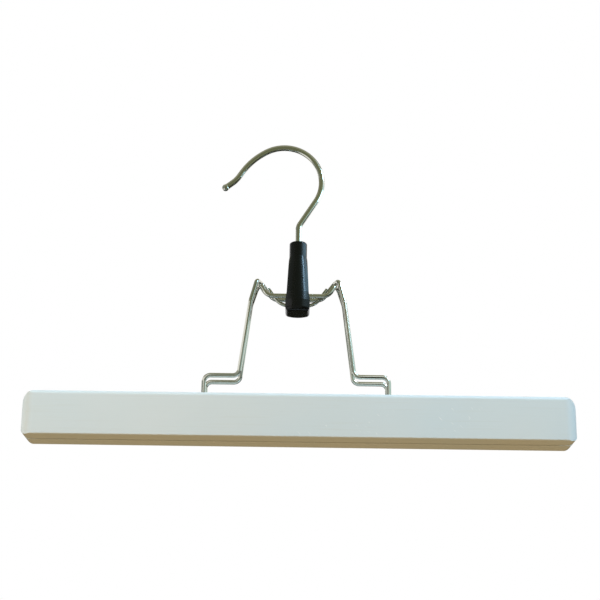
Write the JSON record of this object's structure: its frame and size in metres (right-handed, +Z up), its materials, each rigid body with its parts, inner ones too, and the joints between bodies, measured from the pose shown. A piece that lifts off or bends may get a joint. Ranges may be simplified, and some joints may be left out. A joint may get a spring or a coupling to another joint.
{
  "type": "trouser hanger",
  "caption": "Clamp hanger for trousers: two felt-lined wooden bars closed by crossed spring-wire bails in a tapered sleeve under a swivel hook.",
  "frame": {"origin": "middle of the bars' footprint, at the bars' lower face", "axes": "+X along the bars to the viewer's right, +Y to the back, +Z up along the hook's stem"},
  "size_m": [0.353, 0.0318, 0.2061],
  "materials": {
    "white_lacquered_wood": "satin white lacquer over fine straight grain",
    "plated_wire": "bright nickel plating on drawn wire",
    "black_plastic": "glossy moulded",
    "felt": "pressed wool felt"
  },
  "bodies": {
    "hook": {"hook": "plated_wire"},
    "sleeve": {"sleeve_cap": "black_plastic", "sleeve_body": "black_plastic", "bow_spring": "plated_wire"},
    "front_jaw": {"front_bail": "plated_wire", "front_bar": "white_lacquered_wood", "front_felt": "felt"},
    "back_jaw": {"back_bail": "plated_wire", "back_bar": "white_lacquered_wood", "back_felt": "felt"}
  },
  "joints": [
    {"name": "hook_swivel", "type": "hinge", "parent": "hook", "child": "sleeve", "pos_m": [-0.002, 0, 0.1304], "axis": [0, 0, 1], "continuous": true},
    {"name": "front_jaw_open", "type": "hinge", "parent": "sleeve", "child": "front_jaw", "pos_m": [0, 0, 0.1061], "axis": [-1, 0, 0], "range_deg": [0, 9], "stiffness_Nm_per_rad": 3, "springref_deg": -14.32},
    {"name": "back_jaw_open", "type": "hinge", "parent": "sleeve", "child": "back_jaw", "pos_m": [0, 0, 0.1061], "axis": [1, 0, 0], "range_deg": [0, 9], "stiffness_Nm_per_rad": 3, "springref_deg": -14.32}
  ],
  "couplings": [
    {"joint": "back_jaw_open", "follows": "front_jaw_open", "ratio": 1}
  ]
}
